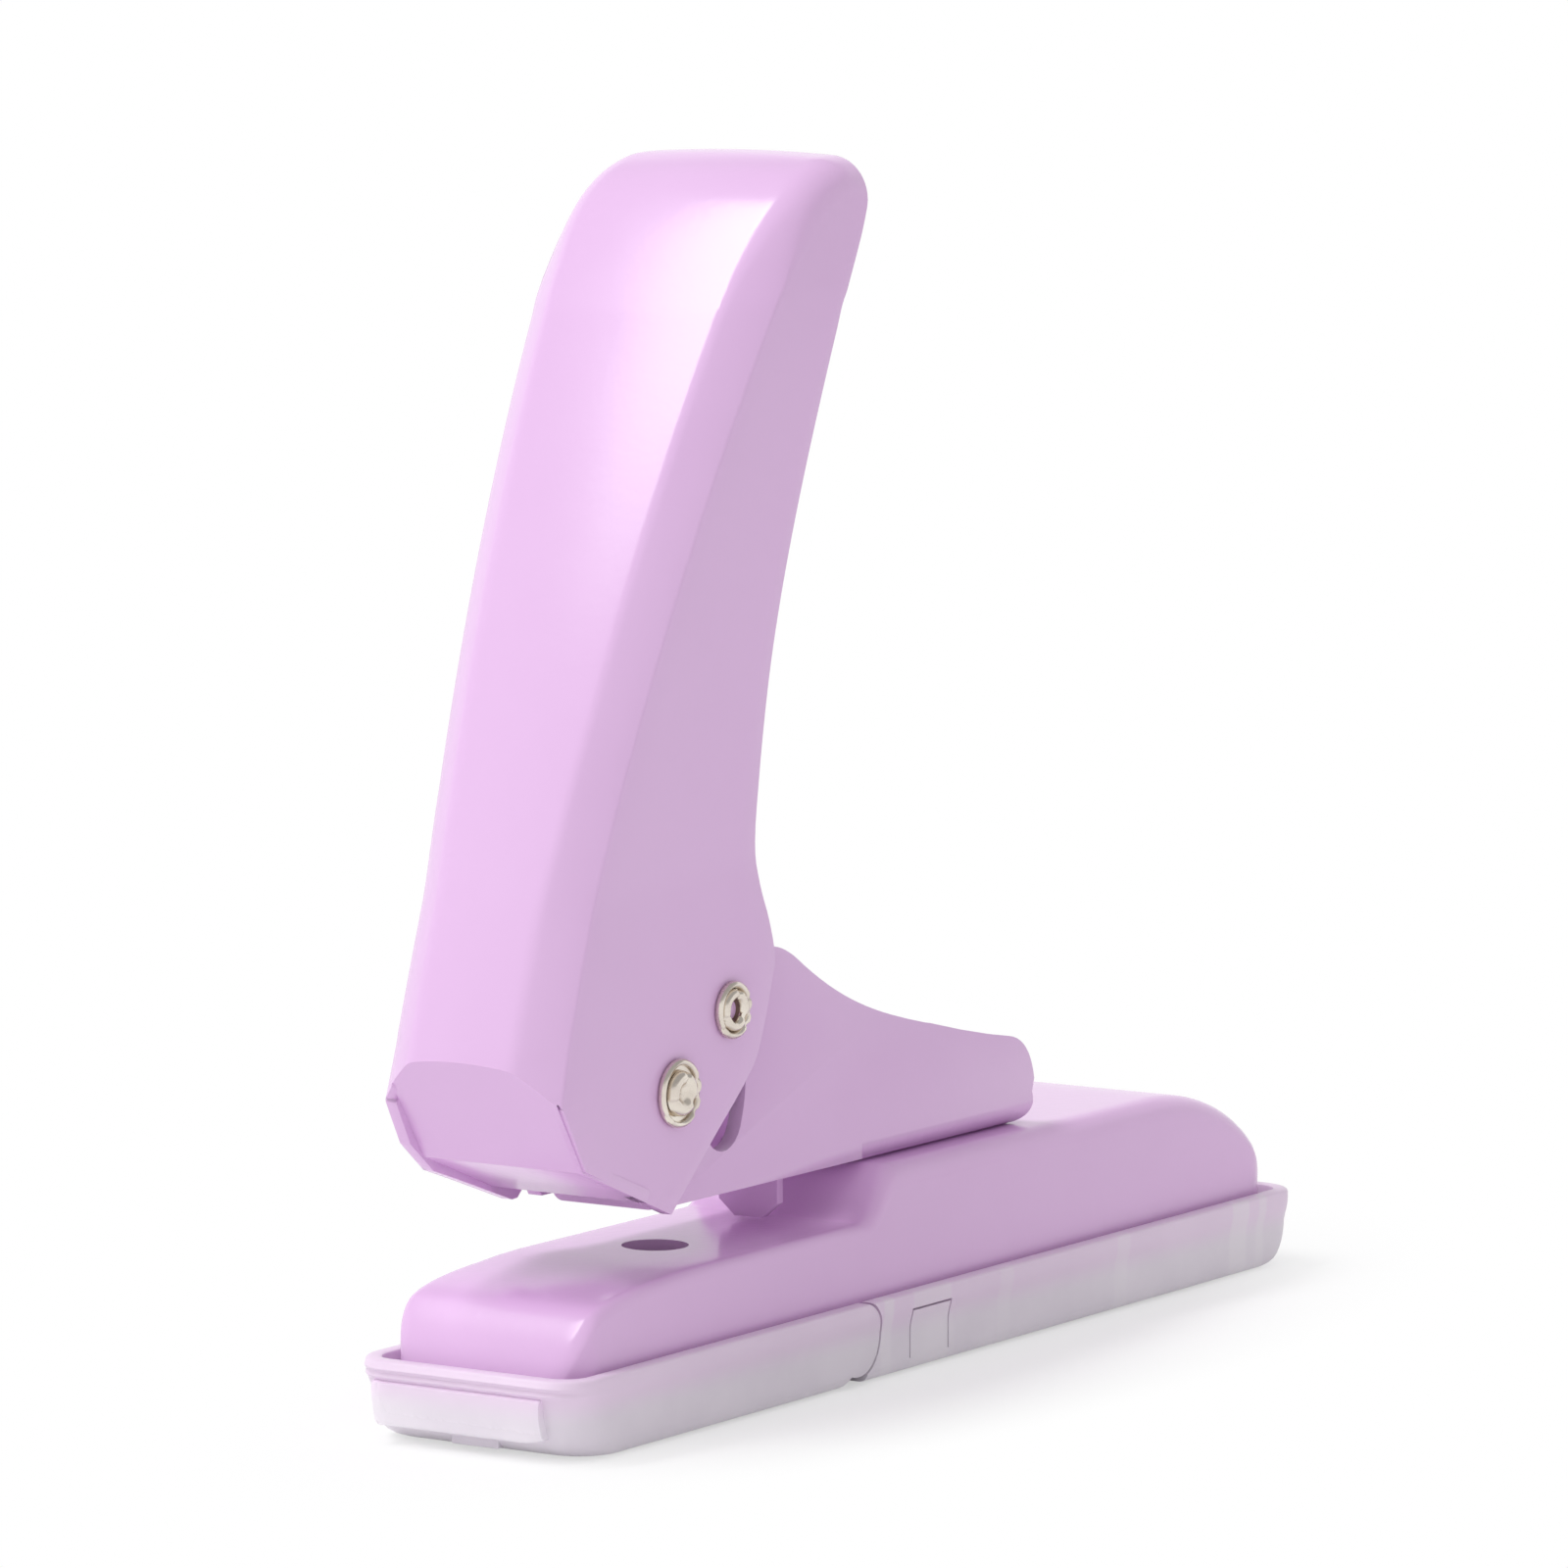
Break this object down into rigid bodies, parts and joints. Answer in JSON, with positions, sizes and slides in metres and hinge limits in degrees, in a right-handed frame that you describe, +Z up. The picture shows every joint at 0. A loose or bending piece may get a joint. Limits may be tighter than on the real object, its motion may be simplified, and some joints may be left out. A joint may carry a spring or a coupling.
{
  "type": "hole punch",
  "caption": "Hand-operated desk punch: a bent sheet lever drives one round punch through paper on a long narrow pressed base, over a hinged chip bin.",
  "frame": {"origin": "centre of the plastic foot where it meets the desk", "axes": "+X along the base from the paper side to the rear, +Y across it, +Z up"},
  "size_m": [0.1313, 0.027, 0.116],
  "materials": {
    "lilac_paint": "satin powder coat",
    "nickel": "nickel-plated, bright",
    "steel": "plain",
    "frosted_plastic": "frosted, translucent"
  },
  "bodies": {
    "base": {"base_shell": "lilac_paint", "die_plate": "steel", "bracket": "lilac_paint", "bracket_rivet_front": "steel", "bracket_rivet_rear": "steel", "guide_plate": "lilac_paint", "guide_bush": "steel", "return_spring": "steel", "pivot_rivet": "nickel", "pivot_washer_left": "nickel", "pivot_washer_right": "nickel", "pivot_spacer": "steel", "rear_foot": "frosted_plastic"},
    "handle": {"handle_shell": "lilac_paint", "drive_rivet": "nickel", "drive_washer_left": "nickel", "drive_washer_right": "nickel", "drive_bush_left": "steel", "drive_bush_right": "steel"},
    "punch": {"punch_pin": "steel", "spring_washer": "steel"},
    "bin": {"chip_bin": "frosted_plastic"}
  },
  "joints": [
    {"name": "handle_press", "type": "hinge", "parent": "base", "child": "handle", "pos_m": [-0.0442, 0, 0.031], "axis": [0, 1, 0], "range_deg": [0, 57], "stiffness_Nm_per_rad": 0.05, "springref_deg": -43.54},
    {"name": "punch_slide", "type": "slide", "parent": "base", "child": "punch", "axis": [0, 0, -1], "range_m": [0, 0.01049], "deforming": ["return_spring"]},
    {"name": "bin_open", "type": "hinge", "parent": "base", "child": "bin", "pos_m": [-0.0179, 0, 0.0043], "axis": [0, -1, 0], "range_deg": [0, 45]}
  ],
  "couplings": [
    {"joint": "handle_press", "follows": "punch_slide", "rad_per_m": 94.86}
  ]
}
